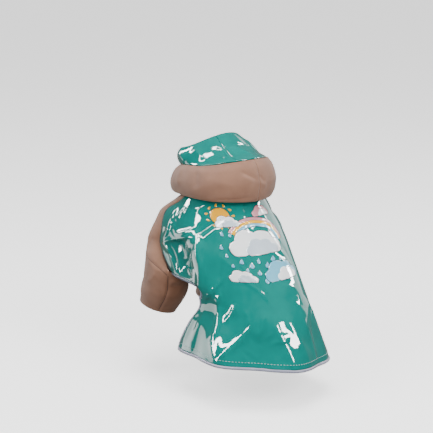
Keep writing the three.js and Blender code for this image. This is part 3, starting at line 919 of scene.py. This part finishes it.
def both_sides(name, path, outward, half_width, half_depth, material):
    """The same cord on the left and on the right."""
    for side, sign in SIDES:
        turn = np.array([sign, 1, 1])
        trim(sweep(f"{name}_{side}", path * turn, outward * turn, half_width, half_depth, material))


def build_piping():
    """Thin cords over the armhole seams' gaps, coloured near-black as painted shade along the seams."""
    rows = np.linspace(0.05, BELLY_EDGE - 0.03, PIPING_STEPS)
    beside = degrees_for(PIPING_RADIUS + PIPING_CLEAR, rows)
    back_angles = back_seam(rows) + beside
    front_angles = front_seam(rows) - beside
    for name, angles in [("back_piping_shade", back_angles), ("front_piping_shade", front_angles)]:
        outward = outward_at(rows, angles)
        path = body_point(rows, angles) + outward * PIPING_LIFT
        both_sides(name, path, outward, PIPING_RADIUS, PIPING_RADIUS, PIPING_PAINTED_SHADE)


# Dark lines of painted shade in the sleeve's elbow dart and long seam: places along it and shares round it
SLEEVE_SHADE_LINES = {
    "elbow_dart_shade": [(4.5, 0.26), (4.62, 0.2), (4.8, 0.11), (5.05, 0.015)],
    "sleeve_seam_shade": [(5.08, 0.004), (5.6, 0.004), (6.2, 0.012), (6.9, 0.02)],
}
LINE_WIDTH = 0.32
LINE_DEPTH = 0.14


# Lays dark lines of painted shade in the dart's and seam's troughs, on both sleeves
def build_sleeve_shade_lines(sleeve):
    tree = tree_of(sleeve)
    for name, places in SLEEVE_SHADE_LINES.items():
        knots = np.array(places)
        steps = np.linspace(0, len(knots) - 1, SLEEVE_LINE_STEPS)
        row = np.interp(steps, range(len(knots)), knots[:, 0])
        share = np.interp(steps, range(len(knots)), knots[:, 1])
        outward = normals_of(sleeve_point, row, share, (0.02, 0.01))
        path = laid_on(tree, sleeve_point(row, share), outward, LINE_LIFT)
        both_sides(name, path, outward, LINE_WIDTH, LINE_DEPTH, SEAM_SHADE)


# A stitch: share of its length, share of its radius, and height in radii, from end to end
STITCH_SHAPE = [(0, 0.4, -0.6), (0.18, 0.9, 0.2), (0.5, 1, 0.5), (0.82, 0.9, 0.2), (1, 0.4, -0.6)]
STITCH_SIDES = 6


def stitches(name, path, outward, material):
    """A row of thread stitches along a path, as one mesh."""
    run = run_along(path)

    def at(values, distance):
        return np.array([np.interp(distance, run, values[:, k]) for k in range(3)])

    vertices, faces = [], []
    for start in np.arange(STITCH_GAP, run[-1] - STITCH_LENGTH, STITCH_LENGTH + STITCH_GAP):
        tangent = unit(at(path, start + STITCH_LENGTH) - at(path, start))
        first = len(vertices)
        for along, size, height in STITCH_SHAPE:
            middle = at(path, start + along * STITCH_LENGTH)
            up = at(outward, start + along * STITCH_LENGTH)
            across = np.cross(tangent, up)
            for k in range(STITCH_SIDES):
                turn = 2 * math.pi * k / STITCH_SIDES
                around = across * math.cos(turn) + up * math.sin(turn)
                vertices.append(middle + (around * size + up * height) * STITCH_RADIUS)
        faces += tube_faces(first, len(STITCH_SHAPE), STITCH_SIDES)
    return new_object(name, vertices, faces, material)


def build_hem_stitches(panel):
    last = float(between(BODY, "flank", HEM_STITCHES)) - STITCH_MARGIN
    angles = np.linspace(last, -last, HEM_STITCH_STEPS)
    rows = np.full_like(angles, HEM_STITCHES)
    outward = outward_at(rows, angles)
    path = laid_on(tree_of(panel), body_point(rows, angles), outward, STITCH_LIFT)
    trim(stitches("hem_stitches", path, outward, THREAD))


# The print: generic clouds, a rainbow, a sun and raindrops. Millimetres right of and below its middle.
PRINT_ROW = 3.35
PRINT_ANGLE = 13
PRINT_LIFT = 0.16
LAYER_LIFT = 0.07
PRINT_THICKNESS = 0.05
LINE_BORDER = 0.6
CLOUD_BUMPS = [
    # right, below, radius, in widths of the cloud
    (-0.33, 0.03, 0.17),
    (-0.14, -0.12, 0.22),
    (0.13, -0.09, 0.2),
    (0.33, 0.05, 0.16),
    (0.0, 0.06, 0.2),
]
CLOUD_BASE = 0.17
CLOUDS = [
    # right, below, width, colour, layer
    (1, 3, 58, "white", 3),
    (-22, -26, 26, "white", 3),
    (20, -34, 24, "pink", 3),
    (21, 37, 44, "blue", 3),
    (-24, 39, 28, "white", 3),
]
SHADE_SIZE = 0.62
SHADE_SHIFT = (0.1, 0.06)
RAINBOW_MIDDLE = (4, 4)
RAINBOW = [("pink", 34, 30.5), ("yellow", 30.5, 27), ("blue", 27, 23.5)]
RAINBOW_TURN = (215, 352)
SUN = (-27, -34, 10)
SUN_STEPS = 60
SUN_RAYS = 11
RAY_LENGTH = 4.2
RAY_REACH = 0.85
DROPS = [
    # right, below, length
    (-20, 19, 6.5), (-11, 24, 7.5), (-2, 19.5, 6), (6, 25, 7.5), (14, 19, 6.5), (-6, 33, 6), (-1, 42, 7.5),
    (-17, 29, 5), (22, 21, 5), (-31, -14, 6), (-23, -12, 5), (-36, 2, 6), (-33, 12, 5), (-30, 24, 5),
]
DROP_SLANT = 14
DROP_WIDTH = 0.42
DROP_BORDER = 0.42


def print_surface(flat):
    """(row, angle) for places in the print."""
    rows = np.linspace(0, HIP, PRINT_STEPS)
    run = run_along(body_point(rows, PRINT_ANGLE))
    row = np.interp(np.interp(PRINT_ROW, rows, run) + flat[:, 1], run, rows)
    return row, PRINT_ANGLE - degrees_for(flat[:, 0], row)


def circle(steps):
    turn = np.linspace(0, 2 * np.pi, steps, endpoint=False)
    return np.stack([np.cos(turn), np.sin(turn)], 1)


def cloud_outline(width, steps=96):
    """A cloud's outline: the outermost of some round bumps in each direction, cut flat below."""
    ways = circle(steps)
    far = np.full(steps, 0.05)
    for right, below, radius in CLOUD_BUMPS:
        middle = np.array([right, below])
        along = ways @ middle
        inside = along**2 - (middle @ middle - radius**2)
        far = np.maximum(far, np.where(inside > 0, along + np.sqrt(np.maximum(inside, 0)), 0))
    far = np.where(ways[:, 1] > 0, np.minimum(far, CLOUD_BASE / np.maximum(ways[:, 1], 1e-6)), far)
    return ways * far[:, None] * width


def drop_outline(length, slant, steps=28):
    """A raindrop with its point upwards, leaning by slant degrees."""
    turn = np.linspace(0, 2 * np.pi, steps, endpoint=False)
    wide = DROP_WIDTH * length * np.sin(turn) * np.sin(turn / 2) ** 1.5
    shape = np.stack([wide, -0.5 * length * np.cos(turn)], 1)
    lean = math.radians(slant)
    turned = np.array([[math.cos(lean), math.sin(lean)], [-math.sin(lean), math.cos(lean)]])
    return shape @ turned


def filled(outline, middle, spacing=1.3):
    """Points and faces from a middle out to an outline round it."""
    rings = max(int(np.linalg.norm(outline, axis=1).max() / spacing), 3)
    steps = len(outline)
    shares = np.arange(1, rings + 1) / rings
    around = (shares[:, None, None] * outline).reshape(-1, 2)
    points = np.vstack([np.zeros((1, 2)), around]) + np.array(middle)
    fan = [(0, 1 + (k + 1) % steps, 1 + k) for k in range(steps)]
    return points, fan + ring_faces(1, rings, steps)


def band(middle, outer, inner, steps=90, rings=4):
    """Points and faces of a part of a ring."""
    turn = np.radians(np.linspace(*RAINBOW_TURN, steps))
    ways = np.stack([np.cos(turn), np.sin(turn)], 1)
    reach = np.linspace(inner, outer, rings)
    points = (reach[:, None, None] * ways).reshape(-1, 2) + np.array(middle)
    faces = []
    for ring in range(rings - 1):
        a, b = ring * steps, (ring + 1) * steps
        faces += [(a + k, a + k + 1, b + k + 1, b + k) for k in range(steps - 1)]
    return points, faces


def bordered(outline, border):
    """The outline moved out by a border."""
    length = np.linalg.norm(outline, axis=1, keepdims=True)
    return outline * (1 + border / np.maximum(length, 0.5))


def print_shapes():
    """Every printed patch: its colour, its layer, its points and its faces."""
    shapes = [(color, 1, band(RAINBOW_MIDDLE, outer, inner)) for color, outer, inner in RAINBOW]
    outer, inner = RAINBOW[0][1] + LINE_BORDER, RAINBOW[-1][2] - LINE_BORDER
    shapes.append(("line", 0, band(RAINBOW_MIDDLE, outer, inner, rings=8)))

    def lined(color, layer, outline, middle, border=LINE_BORDER):
        """A patch over a slightly larger dark one."""
        shapes.append(("line", layer - 1, filled(bordered(outline, border), middle)))
        shapes.append((color, layer, filled(outline, middle)))

    right, below, radius = SUN
    lined("yellow", 1, circle(SUN_STEPS) * radius, (right, below))
    for way, turn in zip(circle(SUN_RAYS), np.linspace(0, 360, SUN_RAYS, endpoint=False)):
        middle = way * (radius + RAY_LENGTH * RAY_REACH) + np.array([right, below])
        shapes.append(("yellow", 1, filled(drop_outline(RAY_LENGTH, -turn - 90), middle)))
    for right, below, width, color, layer in CLOUDS:
        lined(color, layer, cloud_outline(width), (right, below))
        shade = cloud_outline(width * SHADE_SIZE)
        middle = (right + width * SHADE_SHIFT[0], below + width * SHADE_SHIFT[1])
        shapes.append(("grey" if color == "white" else "white", layer + 1, filled(shade, middle)))
    for right, below, length in DROPS:
        lined("blue", 1, drop_outline(length, DROP_SLANT), (right, below), DROP_BORDER)
    return shapes


def build_print(panel):
    """One thin piece for each printed colour, laid on the back panel's own surface."""
    tree = tree_of(panel)
    shapes = print_shapes()
    for color, material in PRINT_COLORS.items():
        vertices, faces = [], []
        for shape_color, layer, (flat, shape_faces) in shapes:
            if shape_color != color:
                continue
            row, angle = print_surface(flat)
            lift = PRINT_LIFT + LAYER_LIFT * layer
            laid = laid_on(tree, body_point(row, angle), outward_at(row, angle), lift)
            faces += [tuple(v + len(vertices) for v in face) for face in shape_faces]
            vertices += list(laid)
        obj = new_object("print_" + color, vertices, faces, material)
        add_wall(obj, PRINT_THICKNESS)
        trim(obj)


back = build_back()
chest = build_chest()
sleeves = build_sleeves()
hood = build_hood()
brim = build_brim()
build_belly_tapes()
build_skirt_tape()
build_piping()
build_sleeve_shade_lines(sleeves[0])
build_hem_stitches(back)
build_print(back)

# The stage and camera
CAMERA_TURN = 40
CAMERA_RISE = 13
CAMERA_DISTANCE = 1.5
CAMERA_FIELD = 18.05
AIM_RIGHT = -0.00825
AIM_UP = -0.03355
FLOOR_HEIGHT = -0.22
FLOOR_HALF = 20.0
FLOOR_GLOW = 1.2
SKY_STRENGTH = 0.3
LIGHT_TARGET = (0, 0, -0.05)
# Softboxes. A gloss light is only mirrored by the film, and a fill light only lights the cloth's colour.
LIGHTS = [
    # name, use, turn, rise, distance, width, height, power
    ("left gloss", "gloss", 106, 32, 1.5, 0.26, 1.1, 80),
    ("right gloss", "gloss", -12, 13, 1.5, 0.42, 0.6, 70),
    ("right high gloss", "gloss", -25, 52, 1.6, 0.16, 0.4, 18),
    ("left high gloss", "gloss", 100, 62, 1.6, 0.3, 0.35, 26),
    ("left low gloss", "gloss", 112, 4, 1.5, 0.18, 0.4, 18),
    ("front left gloss", "gloss", 158, 26, 1.5, 0.2, 0.9, 40),
    ("far right gloss", "gloss", -75, 28, 1.5, 0.2, 0.8, 40),
    ("front left card", "gloss", 150, -16, 1.4, 0.9, 0.45, 7),
    ("far right card", "gloss", -95, 15, 1.5, 0.9, 0.9, 8),
    ("hood gloss", "gloss", 60, 62, 1.7, 0.5, 0.3, 35),
    ("left fill", "fill", 85, 30, 1.6, 0.6, 0.6, 13),
    ("right fill", "fill", 0, 30, 1.6, 0.6, 0.6, 17),
    ("low fill", "fill", 35, 12, 2.2, 1.0, 0.8, 13),
    ("overhead", "fill", 20, 80, 1.8, 1.2, 1.2, 36),
]


def direction(turn, rise):
    """The unit vector from the coat towards a place turned from straight behind it, to its left."""
    turn, rise = math.radians(turn), math.radians(rise)
    return Vector((-math.sin(turn) * math.cos(rise), -math.cos(turn) * math.cos(rise), math.sin(rise)))


def look(obj, place, target):
    obj.location = place
    obj.rotation_euler = (Vector(target) - Vector(place)).to_track_quat("-Z", "Y").to_euler()


def area_light(name, use, turn, rise, distance, width, height, power):
    light = bpy.data.lights.new(name, "AREA")
    light.shape = "RECTANGLE"
    light.size, light.size_y = width, height
    light.energy = power
    obj = bpy.data.objects.new(name, light)
    obj.visible_camera = False
    obj.visible_glossy = use == "gloss"
    obj.visible_diffuse = use == "fill"
    bpy.context.collection.objects.link(obj)
    look(obj, direction(turn, rise) * distance, LIGHT_TARGET)


def build_floor():
    corners = np.array([(-1, -1, 0), (1, -1, 0), (1, 1, 0), (-1, 1, 0)]) * FLOOR_HALF
    corners[:, 2] = FLOOR_HEIGHT
    material = plain_material(
        "pale_floor", (250, 250, 250), 0.9, Emission_Color=(1, 1, 1, 1), Emission_Strength=FLOOR_GLOW
    )
    floor = new_object("floor", corners / MM, [(0, 1, 2, 3)], material, smooth=False)
    floor.visible_glossy = False
    floor.visible_diffuse = False


def build_stage():
    build_floor()
    world = bpy.data.worlds.new("studio")
    world.use_nodes = True
    sky = world.node_tree.nodes["Background"]
    sky.inputs["Color"].default_value = (1, 1, 1, 1)
    sky.inputs["Strength"].default_value = SKY_STRENGTH
    bpy.context.scene.world = world
    for row in LIGHTS:
        area_light(*row)


def build_camera():
    toward = direction(CAMERA_TURN, CAMERA_RISE)
    right = Vector((math.cos(math.radians(CAMERA_TURN)), -math.sin(math.radians(CAMERA_TURN)), 0))
    up = right.cross(-toward)
    aim = right * AIM_RIGHT + up * AIM_UP
    data = bpy.data.cameras.new("camera")
    data.sensor_fit = "HORIZONTAL"
    data.angle = math.radians(CAMERA_FIELD)
    camera = bpy.data.objects.new("camera", data)
    bpy.context.collection.objects.link(camera)
    look(camera, aim + toward * CAMERA_DISTANCE, aim)
    bpy.context.scene.camera = camera


build_stage()
build_camera()
